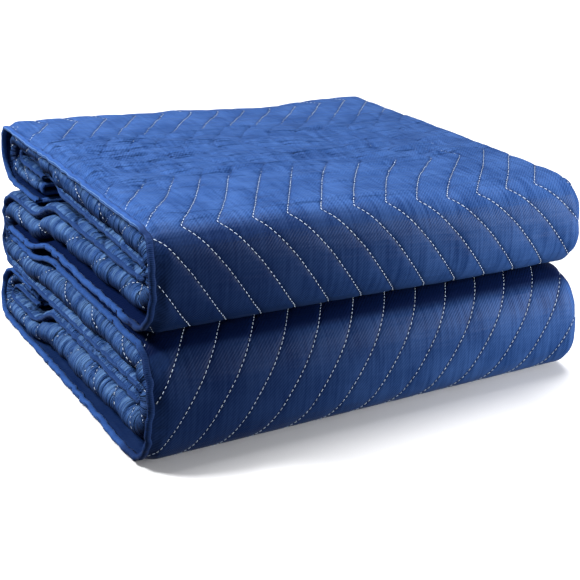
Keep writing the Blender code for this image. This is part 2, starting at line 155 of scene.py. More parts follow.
@dataclass
class FoldPath:
    """The way of the folded strip, seen from its end: a tuck, five turns, four passes and a tuck."""

    turns: dict[str, Turn] = field(default_factory=lambda: {
        "top_tuck": Turn(1, 0.194, 0.1840, 0.0030, 0.0030, 0.008, 0.0350, 0.0350, 0.036, 2.3, 2.2),
        "upper_front": Turn(-1, -0.178, 0.1710, 0.0015, 0.0015, 0.005, 0.0505, 0.0505, 0.052, 3.1, 2.4),
        "middle_back": Turn(1, 0.184, 0.1020, 0.0015, 0.0015, 0.004, 0.0445, 0.0415, 0.046, 2.3, 2.3),
        "lower_front": Turn(-1, -0.178, 0.0585, 0.0015, 0.0015, 0.005, 0.0570, 0.0585, 0.050, 2.4, 2.6),
        "bottom_tuck": Turn(1, 0.196, 0.0310, 0.0025, 0.0015, 0.006, 0.0275, 0.0310, 0.032, 2.2, 2.3),
    })
    tuck_ends: tuple[float, float] = (0.125, 0.130)
    pinch_depth: float = 0.20
    pinch_width: float = 0.30
    spread_from: float = 0.050
    spread_to: float = 0.125
    samples: int = 240

    def __post_init__(self) -> None:
        """Lays the inner and the outer face of the strip and measures the run along them."""
        names = list(self.turns)
        curves = {name: self.turn_curves(name) for name in names}
        inner = [self.level(self.tuck_ends[0], self.turns[names[0]].y, curves[names[0]][0][0, 1])]
        outer = [self.level(self.tuck_ends[0], self.turns[names[0]].y, curves[names[0]][1][0, 1])]
        spans = {}
        for index, name in enumerate(names):
            count = sum(len(piece) for piece in inner)
            spans[name] = (count, count + self.samples - 1)
            inner.append(curves[name][0])
            outer.append(curves[name][1])
            if index + 1 < len(names):
                after = curves[names[index + 1]]
                inner.append(self.crossing(curves[name][0][-1], after[0][0])[1:-1])
                outer.append(self.crossing(curves[name][1][-1], after[1][0])[1:-1])
        last = curves[names[-1]]
        inner.append(self.level(self.turns[names[-1]].y, self.tuck_ends[1], last[0][-1, 1])[1:])
        outer.append(self.level(self.turns[names[-1]].y, self.tuck_ends[1], last[1][-1, 1])[1:])
        self.inner = np.concatenate(inner)
        self.outer = np.concatenate(outer)
        step = np.maximum(np.linalg.norm(np.diff(self.inner, axis=0), axis=1),
                          np.linalg.norm(np.diff(self.outer, axis=0), axis=1))
        self.run = np.concatenate([[0.0], np.cumsum(step)])
        self.spans = {name: (self.run[a], self.run[b]) for name, (a, b) in spans.items()}
        self.length = float(self.run[-1])

    def turn_curves(self, name: str) -> tuple[np.ndarray, np.ndarray]:
        """The inner and the outer face of the strip through one turn, as points (y, z)."""
        turn = self.turns[name]
        angle = np.linspace(math.pi / 2, -math.pi / 2, self.samples)
        angle = angle[::-1] if "tuck" in name else angle
        near = turn.arc("near", angle)
        far = turn.arc("far", angle)
        if name == "middle_back":
            far[:, 0] -= self.pinch_depth * np.exp(-(angle / self.pinch_width) ** 2) * turn.far_reach
            return far, near
        return near, far

    def crossing(self, start: np.ndarray, end: np.ndarray) -> np.ndarray:
        """One face of the strip between two turns: level, but for the stretch where it spreads."""
        y = np.linspace(start[0], end[0], self.samples)
        front, back = (start, end) if start[0] < end[0] else (end, start)
        share = smooth((y - self.spread_from) / (self.spread_to - self.spread_from))
        return np.stack([y, front[1] + (back[1] - front[1]) * share], axis=1)

    def level(self, start: float, end: float, z: float) -> np.ndarray:
        """One face of a tucked end."""
        y = np.linspace(start, end, self.samples // 4)
        return np.stack([y, np.full_like(y, z)], axis=1)

    def at(self, run: float) -> tuple[np.ndarray, np.ndarray]:
        """The inner and the outer point (y, z) at a length run."""
        return tuple(np.array([np.interp(run, self.run, curve[:, k]) for k in (0, 1)])
                     for curve in (self.inner, self.outer))


@dataclass
class Quilting:
    """The zigzag quilting: lines at an even pitch that turn back in rows across the cloth.

    The rows are (length run from their edge, sideways offset). The strays say how far back the first and
    second row behind the top's front edge lie, as (distance from the left end, length run).
    """

    path: FoldPath
    pitch: float = 0.036
    start: float = -0.0067
    reach: float = 0.105
    step: float = 0.147
    bow: tuple[tuple[float, float], ...] = ((0.30, 0.37), (0.65, 0.74))
    top_edge_share: float = 0.25
    edge_back: float = 0.010
    top_rows: tuple[tuple[float, float], ...] = (
        (0.690, 0.120), (0.548, 0.020), (0.402, 0.128), (0.253, 0.013), (0.140, 0.100), (0.0, 0.0))
    hidden_rows: int = 3
    low_rows: tuple[tuple[float, float], ...] = (
        (-0.010, 0.100), (0.150, 0.0), (0.288, 0.105), (0.426, 0.0), (0.564, 0.105), (0.702, 0.0))
    first_stray: tuple[tuple[float, float], ...] = (
        (0.05, -0.003), (0.09, 0.010), (0.13, 0.022), (0.22, 0.022), (0.29, 0.009), (0.32, 0.0),
        (0.35, -0.014), (0.38, -0.025), (0.41, -0.029), (0.45, -0.021))
    second_stray: tuple[tuple[float, float], ...] = (
        (0.01, -0.011), (0.04, -0.025), (0.08, -0.017), (0.12, -0.003), (0.19, 0.002), (0.30, 0.012),
        (0.44, 0.017))
    search_from: float = 0.24
    search_rounds: int = 7

    def __post_init__(self) -> None:
        """Sets out the rows in which the lines turn back."""
        begin, end = self.path.spans["upper_front"]
        self.edge = begin + self.top_edge_share * (end - begin) - self.edge_back
        low = self.path.spans["lower_front"][0]
        rows = [(self.edge - back, offset) for back, offset in self.top_rows]
        first = self.edge + self.step
        hidden = (low + self.low_rows[0][0] - first) / (self.hidden_rows + 1)
        rows += [(self.edge + way * self.step, offset * self.reach) for way, offset in self.bow]
        rows += [(first + hidden * k, self.reach * float(k % 2 == 0)) for k in range(self.hidden_rows + 1)]
        rows += [(low + after, offset) for after, offset in self.low_rows]
        self.rows = np.array(rows)
        self.backs = np.array(sorted(back for back, _ in self.top_rows)[:4])

    def shift(self, run: float, flat: np.ndarray) -> np.ndarray:
        """How far the lines lie across the cloth from their start.

        Args:
            run: length run along the strip.
            flat: flat places across the cloth.

        Returns:
            The sideways offset of the zigzag at each place.
        """
        moved = np.full(np.shape(flat), float(run))
        for index, table in enumerate((self.first_stray, self.second_stray)):
            amount = np.interp(self.edge - run, self.backs[index:index + 3], (0.0, 1.0, 0.0))
            moved += amount * np.interp(flat, *np.array(table).T)
        return np.interp(moved, self.rows[:, 0], self.rows[:, 1])

    def phase(self, flat: np.ndarray, run: float) -> np.ndarray:
        """The flat place counted in lines from the first."""
        return (flat - self.start - self.shift(run, flat)) / self.pitch

    def places(self, run: float, numbers: np.ndarray) -> np.ndarray:
        """The flat places of the numbered lines at a length run."""
        flat = self.start + self.pitch * numbers + self.shift(run, np.full(len(numbers), self.search_from))
        for _ in range(self.search_rounds):
            flat = self.start + self.pitch * numbers + self.shift(run, flat)
        return flat


@dataclass
class LeftEnd:
    """Where the hems and the roll end in X, and how much the roll swells, through the strip's turns.

    A row is a turn, the share of it gone through, the outer hem, the roll, the inner hem, the swell up and
    the swell down.
    """

    path: FoldPath
    rows: tuple[tuple[str, float, float, float, float, float, float], ...] = (
        ("top_tuck", 0.0, 0.012, 0.016, 0.020, 0.0002, 0.0002),
        ("top_tuck", 1.0, 0.002, 0.010, 0.022, 0.0002, 0.0006),
        ("upper_front", 0.0, -0.006, 0.000, 0.006, 0.0018, 0.0022),
        ("upper_front", 1.0, -0.005, -0.001, 0.004, 0.0018, 0.0022),
        ("middle_back", 0.0, 0.001, 0.002, 0.006, 0.0004, 0.0006),
        ("middle_back", 1.0, 0.005, 0.001, 0.004, 0.0004, 0.0005),
        ("lower_front", 0.0, -0.003, -0.001, 0.004, 0.0018, 0.0024),
        ("lower_front", 1.0, -0.006, -0.003, 0.003, 0.0018, 0.0024),
        ("bottom_tuck", 0.0, 0.000, 0.000, 0.006, 0.0002, 0.0004),
        ("bottom_tuck", 1.0, 0.008, 0.012, 0.014, 0.0002, 0.0002),
    )

    def at(self, run: float) -> tuple[float, float, float, float, float]:
        """The outer hem, the roll, the inner hem, the swell up and the swell down at a length run."""
        places = [self.path.spans[turn][0] + when * (self.path.spans[turn][1] - self.path.spans[turn][0])
                  for turn, when, *_ in self.rows]
        table = np.array([row[2:] for row in self.rows])
        return tuple(float(np.interp(run, places, table[:, k])) for k in range(table.shape[1]))


@dataclass
class Block:
    """The folded block's own sizes, its lean and its sag."""

    length: float = 0.475
    height: float = 0.220
    left_height: float = 0.236
    depth_gain: float = 1.0185
    foot_reach: float = 0.013
    cloth_half: float = 0.00475
    least_room_share: float = 0.115
    hem_share: float = 0.32
    hem_taper: float = 0.010
    tape_width: float = 0.0052
    right_drop: float = 0.081
    dip: float = 0.0045
    dip_at: float = 0.33
    dip_width: float = 0.09
    swell_width: float = 0.060
    hollow: float = 0.08
    hollow_left: float = 0.12
    hollow_left_width: float = 0.10
    hollow_margin: float = 0.35

    def settle(self, points: np.ndarray) -> np.ndarray:
        """Points with the block's lean and sag, and the origin under its middle."""
        x = points[:, 0]
        z = points[:, 2]
        lift = self.left_height / self.height * (1.0 - self.right_drop * x / self.length)
        dip = self.dip * np.exp(-((x - self.dip_at) / self.dip_width) ** 2) * (z / self.height) ** 2
        spread = self.foot_reach * (1.0 - z / self.height)
        settled = points.copy()
        settled[:, 0] = x - self.length / 2 + spread * (2.0 * x / self.length - 1.0)
        settled[:, 1] = points[:, 1] * self.depth_gain
        settled[:, 2] = np.maximum(z * lift - dip, 0.0)
        return settled


@dataclass
class Relief:
    """The fine shape of the cloth's faces: puffs between the quilting lines, puckers and creases."""

    block: Block
    path: FoldPath
    quilting: Quilting
    groove: float = 0.0021
    trench: float = 0.0005
    trench_width: float = 0.0016
    pucker: float = 0.00045
    pucker_reach: float = 0.007
    wrinkle: float = 0.0036
    roll_pucker: float = 0.0016
    stand: float = 0.0011
    nose: float = 0.0075
    hem_swell: float = 0.0016
    fine: Unevenness = Unevenness(3)
    long: Unevenness = Unevenness(8)
    rolls: Unevenness = Unevenness(21)
    broad: Unevenness = Unevenness(34)

    def shown(self, run: float, place: Place, side: Side) -> float:
        """How deep the quilting is drawn on a face there: nothing on the flat underside."""
        spans = self.path.spans
        if side is Side.LINING:
            return 0.85 if place in (Place.ROLL, Place.LAYER_2, Place.LAYER_3) else 0.5
        if place is Place.LAYER_1:
            under = bump(run, spans["lower_front"][1] - 0.020, spans["bottom_tuck"][0] + 0.015, 0.025)
            return float(1.0 - under)
        return 1.0

    def fullness(self, run: float, place: Place) -> float:
        """How full the quilting is: little on the two fronts, some on the top, most on the rolls."""
        if place in (Place.FOLD_1, Place.FOLD_3):
            return 0.4
        if place is not Place.LAYER_1:
            return 1.2
        front = 0.0
        for name, share in (("upper_front", 0.25), ("lower_front", 0.05)):
            begin, end = self.path.spans[name]
            front = max(front, float(bump(run, begin + share * (end - begin), end, 0.025)))
        return 0.56 - 0.34 * front

    def creased(self, run: float) -> float:
        """How crumpled the face is at a length run: most in a band across the top."""
        back = self.quilting.edge - run
        band = bump(back, 0.155, 0.300, 0.060)
        top = bump(back, 0.030, 0.520, 0.040)
        return float(0.08 + 0.42 * top + 0.50 * band * top)

    def painted_shade_rule(self, run: float) -> Callable[[np.ndarray, np.ndarray], np.ndarray]:
        """Painted shade on the two fronts only, for how the light falls on them: most at their left and
        least at their right.

        Args:
            run: length run along the strip.

        Returns:
            A rule that gives the darkness from places in X and flat places.
        """
        front = 0.0
        spans = self.path.spans
        for name, share in (("upper_front", 0.27), ("lower_front", 0.0)):
            begin, end = spans[name]
            front = max(front, float(bump(run, begin + share * (end - begin), end + 0.02, 0.022)))
        under = float(bump(run, spans["upper_front"][1] - 0.016, spans["lower_front"][0] + 0.030, 0.020))
        length = self.block.length

        def rule(x: np.ndarray, flat: np.ndarray) -> np.ndarray:
            """The painted shade at each place; deepest inside the gap between the two fronts."""
            right = smooth((x / length - 0.10) / 0.85)
            return (flat < length + 0.02) * np.maximum(0.78 * front * (1.0 - 0.94 * right), under)

        return rule

    def half(self, flat: np.ndarray, x: np.ndarray, run: float, hems: tuple[float, float], base: float,
             place: Place, side: Side) -> tuple[np.ndarray, np.ndarray]:
        """The height of a face over the cloth's middle.

        Args:
            flat: flat places across the cloth.
            x: distances from the block's left end.
            run: length run along the strip.
            hems: flat places of the two hems.
            base: half the cloth's thickness there.
            place: layer or fold.
            side: face of the cloth.

        Returns:
            The heights, and how near each place is to a quilting line, from 0 to 1.
        """
        to_hem = hems[1] - flat if place is not Place.LAYER_4 else np.ones_like(flat)
        to_hem = np.minimum(flat - hems[0], to_hem)
        to_edge = np.minimum(to_hem, min(run, self.path.length - run))
        full = smooth((to_edge - self.block.tape_width) / self.block.hem_taper)
        phase = self.quilting.phase(flat, run)
        line = np.round(phase)
        off = np.abs(phase - line) * self.quilting.pitch
        puff = 1.0 - (1.0 - np.clip(off / (self.quilting.pitch / 2), 0.0, 1.0)) ** 2.4
        depth = self.shown(run, place, side)
        groove = self.groove * self.fullness(run, place)
        lower = groove * (1.0 - puff) + self.trench * np.exp(-(off / self.trench_width) ** 2)
        wave = self.fine.at(line * 7.3 + 2.0 * (phase > line), run / 0.0055)
        lift = self.pucker * np.exp(-off / self.pucker_reach) * wave * np.clip(off / 0.002, 0.0, 1.0)
        lift = lift + self.creases(flat, x, run, place, side)
        scale = min(1.0, base / self.block.cloth_half)
        height = base * (self.block.hem_share + (1.0 - self.block.hem_share) * full)
        lift = lift + (self.stand if place is Place.LAYER_1 and side is Side.FACE else 0.0)
        height = height + full * depth * scale * (lift - lower)
        if place is Place.LAYER_4:
            inside = hems[1] - flat
            swell = self.hem_swell * scale * np.exp(-((inside - 0.010) / 0.011) ** 2)
            rounding = np.sqrt(1.0 - (1.0 - np.clip(inside / self.nose, 0.0, 1.0)) ** 2)
            height = (height + full * swell) * np.maximum(rounding, 0.12)
        return height, np.exp(-(off / 0.0013) ** 2) * full * min(1.0, depth)

    def creases(self, flat: np.ndarray, x: np.ndarray, run: float, place: Place, side: Side) -> np.ndarray:
        """Heights of the longer wrinkles, by where they lie."""
        if side is Side.FACE and place is Place.LAYER_1:
            amount = self.creased(run)
            drift = 0.35 * self.broad.at(x / 0.060, run / 0.045)
            ridges = self.long.at(x / 0.070 + 3.0 * drift, run / 0.0085 + drift)
            broad = self.broad.at(x / 0.085, run / 0.060)
            rim = np.exp(-x / 0.014) * self.fine.at(run / 0.0062, x / 0.020 + 40.0)
            calm = 1.0 - 0.85 * smooth((x / self.block.length - 0.86) / 0.10)
            return self.wrinkle * amount * calm * (ridges + 0.9 * broad) + 0.0007 * rim
        lined = side is Side.LINING and place in (Place.LAYER_2, Place.LAYER_3)
        if lined or place in (Place.ROLL, Place.LAYER_4):
            near = np.exp(-np.maximum(x - 0.014, 0.0) / 0.030)
            close = self.rolls.at(run / 0.0105, flat / 0.040)
            wide = self.rolls.at(run / 0.0230 + 9.0, flat / 0.050)
            return self.roll_pucker * near * (close + 0.6 * wide)
        if place in (Place.FOLD_1, Place.FOLD_3):
            return 0.0006 * self.rolls.at(run / 0.0080 + 50.0, flat / 0.030)
        return 0.0004 * self.broad.at(x / 0.030, run / 0.012)


class CrossSection:
    """The folded strip at one length run: four layers, two folds at the right and a roll at the left."""

    def __init__(self, blanket: "Blanket", run: float) -> None:
        """Measures the strip there.

        Args:
            blanket: the blanket's own sizes and path.
            run: length run along the strip.
        """
        self.blanket = blanket
        block = blanket.block
        self.run = run
        self.inner, self.outer = blanket.path.at(run)
        self.room = float(np.linalg.norm(self.outer - self.inner))
        self.base = min(block.cloth_half, block.least_room_share * self.room)
        self.pitch = (self.room - 2.0 * self.base) / 3.0
        self.outer_hem, self.roll, self.inner_hem, self.swell_up, self.swell_down = blanket.left.at(run)
        self.hollow = self.front_hollow()
        self.right_x = block.length - self.pitch / 2 - self.base
        radius = float(self.height(2, self.roll) - self.height(3, self.roll)) / 2
        self.left_x = self.roll + radius + self.base
        self.hems = (self.outer_hem, 4 * block.length - self.inner_hem)

    def front_hollow(self) -> float:
        """How far through a front turn the section is: 1 at its middle and 0 outside it."""
        share = 0.0
        for name in ("upper_front", "lower_front"):
            begin, end = self.blanket.path.spans[name]
            margin = self.blanket.block.hollow_margin * (end - begin)
            t = (self.run - begin + margin) / (end - begin + 2.0 * margin)
            if 0.0 < t < 1.0:
                share = max(share, math.sin(math.pi * t) ** 2)
        return share

    def height(self, layer: int, x: np.ndarray | float) -> np.ndarray:
        """The height of a layer's middle over the strip's inner face; layer 1 is the skin."""
        block = self.blanket.block
        x = np.asarray(x, float)
        base = {1: self.room - self.base, 2: self.base + 2 * self.pitch,
                3: self.base + self.pitch, 4: self.base}[layer]
        near = 0.5 + 0.5 * np.cos(math.pi * np.clip((x - self.roll) / block.swell_width, 0.0, 1.0))
        swell = {2: self.swell_up, 3: -self.swell_down}.get(layer, 0.0)
        base = base + swell * near * (1.0 - self.hollow)
        if layer > 1:
            back = block.hollow + block.hollow_left * np.exp(-x / block.hollow_left_width)
            base = self.base + (base - self.base) * (1.0 - self.hollow * back)
        return base + np.zeros_like(x)

    def bounds(self, place: Place) -> tuple[float, float]:
        """The flat places between which a layer or a fold lies."""
        length = self.blanket.block.length
        return {
            Place.LAYER_1: (self.outer_hem, self.right_x),
            Place.FOLD_1: (self.right_x, 2 * length - self.right_x),
            Place.LAYER_2: (2 * length - self.right_x, 2 * length - self.left_x),
            Place.ROLL: (2 * length - self.left_x, 2 * length + self.left_x),
            Place.LAYER_3: (2 * length + self.left_x, 2 * length + self.right_x),
            Place.FOLD_3: (2 * length + self.right_x, 4 * length - self.right_x),
            Place.LAYER_4: (4 * length - self.right_x, 4 * length - self.inner_hem),
        }[place]

    def middle(self, place: Place, flat: np.ndarray) -> tuple[np.ndarray, np.ndarray]:
        """Points (x, height) in the cloth's middle and the way in which its quilted face looks."""
        length = self.blanket.block.length
        if place in LAYERS:
            number = LAYERS[place]
            x = {1: flat, 2: 2 * length - flat, 3: flat - 2 * length, 4: 4 * length - flat}[number]
            facing = 1.0 if number in (1, 3) else -1.0
            return (np.stack([x, self.height(number, x)], axis=1),
                    np.stack([np.zeros_like(x), np.full_like(x, facing)], axis=1))
        number = FOLDS[place]
        at_left = place is Place.ROLL
        x = self.left_x if at_left else self.right_x
        top = float(self.height(number, x))
        low = float(self.height(number + 1, x))
        begin, end = self.bounds(place)
        angle = math.pi / 2 - math.pi * (flat - begin) / (end - begin)
        out = np.stack([(-1.0 if at_left else 1.0) * np.cos(angle), np.sin(angle)], axis=1)
        return np.array([x, (top + low) / 2]) + (top - low) / 2 * out, (-out if at_left else out)

    def face(self, place: Place, flat: np.ndarray, side: Side,
             over: float = 0.0) -> tuple[np.ndarray, np.ndarray]:
        """World points on a face of the cloth, before the block settles, and their nearness to a line.

        Args:
            place: layer or fold.
            flat: flat places.
            side: face of the cloth.
            over: how far the points stand over the face.

        Returns:
            The points and the nearness of each to a quilting line.
        """
        middle, normal = self.middle(place, flat)
        relief = self.blanket.relief
        half, near = relief.half(flat, middle[:, 0], self.run, self.hems, self.base, place, side)
        return self.world(middle + normal * (side.value * (half + over))[:, None]), near

    def world(self, point: np.ndarray) -> np.ndarray:
        """World points from (x, height over the strip's inner face)."""
        share = (point[:, 1] / self.room)[:, None]
        return np.column_stack([point[:, 0], self.inner + (self.outer - self.inner) * share])


@dataclass(frozen=True)
class Weave:
    """The blanket's woven face: a satin blue with fine twill, brushed streaks and small creases; painted
    shade beside the lines, on the fronts and in the hollows, and a painted highlight on the rolls' crests.
    """

    name: str = "quilted_blue_weave"
    deep: tuple[float, float, float] = (0.008, 0.038, 0.155)
    light: tuple[float, float, float] = (0.043, 0.110, 0.322)
    # The dark colour of the painted shade, and then the pale colour of the painted highlight.
    painted_dark: tuple[float, float, float] = (0.002, 0.008, 0.046)
    painted_highlight: tuple[float, float, float] = (0.170, 0.330, 0.640)
    roughness: float = 0.46
    sheen: float = 0.02
    twill: float = 560.0

    def material(self) -> bpy.types.Material:
        """Builds the material on the cloth's own flat map and attributes."""
        m = NodeBoard(self.name)
        uv = m.node("ShaderNodeUVMap", uv_map="cloth")
        streaks = m.noise(m.scaled(uv, (300.0, 16.0, 1.0)), 1.0, 3.0)
        patches = m.noise(m.scaled(uv, (26.0, 26.0, 1.0)), 1.0, 3.0)
        twill = m.node("ShaderNodeTexWave", wave_type="BANDS", bands_direction="DIAGONAL")
        m.link(m.scaled(uv, (self.twill, self.twill, 1.0)), twill.inputs["Vector"])
        twill.inputs["Scale"].default_value = 0.32
        twill.inputs["Distortion"].default_value = 1.2
        twill.inputs["Detail"].default_value = 1.0
        tone = m.math("MULTIPLY_ADD", streaks, 0.55, m.math("MULTIPLY", patches, 0.45))
        tone = m.math("MULTIPLY_ADD", twill.outputs["Fac"], 0.14, tone)
        tone = m.ranged(tone, 0.38, 0.72)
        colour = m.mix(tone, self.deep, self.light)
        # Painted shade: one share beside the quilting lines, one on the fronts, in the gap between them,
        # on the rolls' lower sides and in the hollows.
        painted_dark = m.attribute("painted_dark")
        painted_shade = m.attribute("painted_shade")
        colour = m.mix(painted_shade, colour, self.painted_dark)
        # Painted highlight on the rolls' upward crests, broken into patches.
        highlight_patches = m.ranged(m.noise(m.scaled(uv, (60.0, 150.0, 1.0)), 1.0, 3.0), 0.42, 0.66)
        colour = m.mix(m.math("MULTIPLY", m.attribute("painted_highlight"), highlight_patches), colour, self.painted_highlight)
        # The painted shade beside the quilting lines.
        colour = m.mix(m.math("MULTIPLY", painted_dark, 0.85), colour, self.painted_dark)
        m.colour(colour)
        m.link(m.math("MULTIPLY_ADD", streaks, 0.22, self.roughness - 0.11), m.shader.inputs["Roughness"])
        m.shader.inputs["Sheen Weight"].default_value = self.sheen
        m.shader.inputs["Sheen Roughness"].default_value = 0.35
        m.shader.inputs["Sheen Tint"].default_value = (0.30, 0.50, 1.0, 1.0)
        m.shader.inputs["Specular IOR Level"].default_value = 0.06
        crumple = m.attribute("crumple")
        dented = m.noise(m.scaled(uv, (10.0, 80.0, 1.0)), 1.0, 3.0)
        across = m.noise(m.scaled(uv, (22.0, 170.0, 1.0)), 1.0, 4.0)
        along = m.noise(m.scaled(uv, (150.0, 260.0, 1.0)), 1.0, 3.0)
        fine = m.math("MULTIPLY", along, 0.0003)
        fine = m.math("MULTIPLY_ADD", m.math("MULTIPLY", across, crumple), 0.0088, fine)
        fine = m.math("MULTIPLY_ADD", m.math("MULTIPLY", dented, crumple), 0.0150, fine)
        high = m.math("MULTIPLY_ADD", twill.outputs["Fac"], 0.00016, fine)
        m.bump(high, 0.9)
        return m.material


@dataclass(frozen=True)
class Thread:
    """The quilting thread: pale, a little uneven in tone."""

    name: str = "pale_quilting_thread"
    deep: tuple[float, float, float] = (0.52, 0.66, 0.94)
    light: tuple[float, float, float] = (0.76, 0.88, 1.00)

    def material(self) -> bpy.types.Material:
        """Builds the material on object coordinates."""
        m = NodeBoard(self.name)
        place = m.node("ShaderNodeTexCoord").outputs["Object"]
        tone = m.noise(place, 260.0, 2.0)
        m.colour(m.mix(m.ranged(tone, 0.3, 0.7), self.deep, self.light))
        m.link(m.math("MULTIPLY_ADD", tone, 0.2, 0.5), m.shader.inputs["Roughness"])
        m.shader.inputs["Sheen Weight"].default_value = 0.2
        return m.material


@dataclass(frozen=True)
class Tape:
    """The woven tape over the cloth's edges: fine ribs across it and two pale rows of sewing, which along
    the top's rim also serve as a painted highlight; painted shade where it lies in shadow.
    """

    name: str = "blue_binding_weave"
    deep: tuple[float, float, float] = (0.012, 0.050, 0.205)
    light: tuple[float, float, float] = (0.036, 0.104, 0.330)
    pale: tuple[float, float, float] = (0.105, 0.205, 0.450)
    shade: tuple[float, float, float] = (0.003, 0.009, 0.045)
    rows: tuple[float, ...] = (0.0098, 0.0135)
    row_half: float = 0.0007

    def material(self) -> bpy.types.Material:
        """Builds the material on the tape's own flat map."""
        m = NodeBoard(self.name)
        uv = m.node("ShaderNodeUVMap", uv_map="cloth")
        ribs = m.node("ShaderNodeTexWave", wave_type="BANDS", bands_direction="Y")
        m.link(m.scaled(uv, (600.0, 600.0, 1.0)), ribs.inputs["Vector"])
        ribs.inputs["Scale"].default_value = 0.30
        ribs.inputs["Distortion"].default_value = 0.8
        wear = m.noise(m.scaled(uv, (120.0, 60.0, 1.0)), 1.0, 3.0)
        tone = m.math("MULTIPLY_ADD", ribs.outputs["Fac"], 0.35, m.math("MULTIPLY", wear, 0.65))
        place = m.node("ShaderNodeSeparateXYZ")
        m.link(uv, place.inputs[0])
        # Pale rows of sewing, brightest along the top's rim, where they also serve as a painted highlight.
        rows = [m.math("COMPARE", place.outputs["X"], row, self.row_half) for row in self.rows]
        sewn = m.math("MULTIPLY", m.math("ADD", *rows), m.attribute("pale"))
        colour = m.mix(m.ranged(tone, 0.25, 0.75), self.deep, self.light)
        # Painted shade: the tape darker on the fronts, between the rolls and at the ends.
        colour = m.mix(m.attribute("painted_shade"), colour, self.shade)
        m.colour(m.mix(sewn, colour, self.pale))
        m.link(m.math("MULTIPLY_ADD", wear, 0.2, 0.50), m.shader.inputs["Roughness"])
        m.shader.inputs["Sheen Weight"].default_value = 0.03
        m.shader.inputs["Specular IOR Level"].default_value = 0.05
        gathers = m.noise(m.scaled(uv, (30.0, 170.0, 1.0)), 1.0, 3.0)
        ribbed = m.math("MULTIPLY", ribs.outputs["Fac"], 0.0002)
        m.bump(m.math("MULTIPLY_ADD", gathers, 0.0026, ribbed), 0.8)
        return m.material


class NodeBoard:
    """A material under construction, with short ways to add its nodes."""

    def __init__(self, name: str) -> None:
        """Opens a new material with one Principled shader."""
        self.material = bpy.data.materials.new(name)
        self.material.use_nodes = True
        self.tree = self.material.node_tree
        self.shader = self.tree.nodes["Principled BSDF"]

    def node(self, kind: str, **settings: object) -> bpy.types.Node:
        """Adds a node and sets its named settings."""
        node = self.tree.nodes.new(kind)
        for key, value in settings.items():
            setattr(node, key, value)
        return node

    def link(self, source: object, socket: bpy.types.NodeSocket) -> None:
        """Joins an output, or a node's first output, to a socket; a number is set on it."""
        if isinstance(source, (int, float)):
            socket.default_value = source
            return
        output = source.outputs[0] if isinstance(source, bpy.types.Node) else source
        self.tree.links.new(output, socket)

    def scaled(self, source: object, factors: tuple[float, float, float]) -> bpy.types.NodeSocket:
        """A vector times fixed factors."""
        node = self.node("ShaderNodeVectorMath", operation="MULTIPLY")
        self.link(source, node.inputs[0])
        node.inputs[1].default_value = factors
        return node.outputs[0]

    def noise(self, place: object, scale: float, detail: float) -> bpy.types.NodeSocket:
        """Soft noise from 0 to 1."""
        node = self.node("ShaderNodeTexNoise")
        self.link(place, node.inputs["Vector"])
        node.inputs["Scale"].default_value = scale
        node.inputs["Detail"].default_value = detail
        return node.outputs["Fac"]

    def math(self, operation: str, a: object, b: object, c: object = 0.0) -> bpy.types.NodeSocket:
        """A Math node on numbers or outputs."""
        node = self.node("ShaderNodeMath", operation=operation)
        for socket, value in zip(node.inputs, (a, b, c)):
            self.link(value, socket)
        return node.outputs[0]

    def ranged(self, value: object, low: float, high: float) -> bpy.types.NodeSocket:
        """A value spread from between two limits to between 0 and 1."""
        node = self.node("ShaderNodeMapRange")
        self.link(value, node.inputs["Value"])
        node.inputs["From Min"].default_value = low
        node.inputs["From Max"].default_value = high
        return node.outputs["Result"]

    def attribute(self, name: str) -> bpy.types.NodeSocket:
        """The value of one of the piece's own attributes."""
        return self.node("ShaderNodeAttribute", attribute_name=name).outputs["Fac"]

    def mix(self, share: object, first: object, second: object) -> bpy.types.NodeSocket:
        """A colour between two others."""
        node = self.node("ShaderNodeMix", data_type="RGBA")
        self.link(share, node.inputs["Factor"])
        for key, value in (("A", first), ("B", second)):
            socket = next(s for s in node.inputs if s.name == key and s.type == "RGBA")
            if isinstance(value, tuple):
                socket.default_value = (*value, 1.0)
            else:
                self.link(value, socket)
        return next(s for s in node.outputs if s.type == "RGBA")

    def colour(self, source: object) -> None:
        """Sets the shader's base colour."""
        self.link(source, self.shader.inputs["Base Color"])

    def bump(self, height: object, strength: float) -> None:
        """Raises the surface by a height in metres."""
        node = self.node("ShaderNodeBump")
        node.inputs["Strength"].default_value = strength
        node.inputs["Distance"].default_value = 1.0
        self.link(height, node.inputs["Height"])
        self.link(node.outputs["Normal"], self.shader.inputs["Normal"])


@dataclass
class Blanket:
    """The whole blanket's shared sizes: its block, the way of its folds, its quilting and its relief."""

    block: Block = field(default_factory=Block)
    path: FoldPath = field(default_factory=FoldPath)

    def __post_init__(self) -> None:
        """Joins the parts that depend on each other."""
        self.quilting = Quilting(self.path)
        self.left = LeftEnd(self.path)
        self.relief = Relief(self.block, self.path, self.quilting)

    def section(self, run: float) -> CrossSection:
        """The folded strip's cross-section at a length run."""
        return CrossSection(self, float(run))


def mesh_object(name: str, points: np.ndarray, faces: list[tuple[int, ...]], uv: np.ndarray,
                material: bpy.types.Material) -> bpy.types.Object:
    """A smooth-shaded piece at the origin with its flat map.

    Args:
        name: the piece's name.
        points: its points.
        faces: its faces.
        uv: the flat map's place of each point, in metres.
        material: its finish.

    Returns:
        The new object, linked to the scene.
    """
    mesh = bpy.data.meshes.new(name)
    mesh.from_pydata(points.tolist(), [], faces)
    loops = np.zeros(len(mesh.loops), dtype=np.int32)
    mesh.loops.foreach_get("vertex_index", loops)
    layer = mesh.uv_layers.new(name="cloth")
    layer.data.foreach_set("uv", uv[loops].astype(np.float32).ravel())
    mesh.polygons.foreach_set("use_smooth", np.ones(len(mesh.polygons), dtype=bool))
    mesh.materials.append(material)
    mesh.update()
    obj = bpy.data.objects.new(name, mesh)
    bpy.context.scene.collection.objects.link(obj)
    return obj


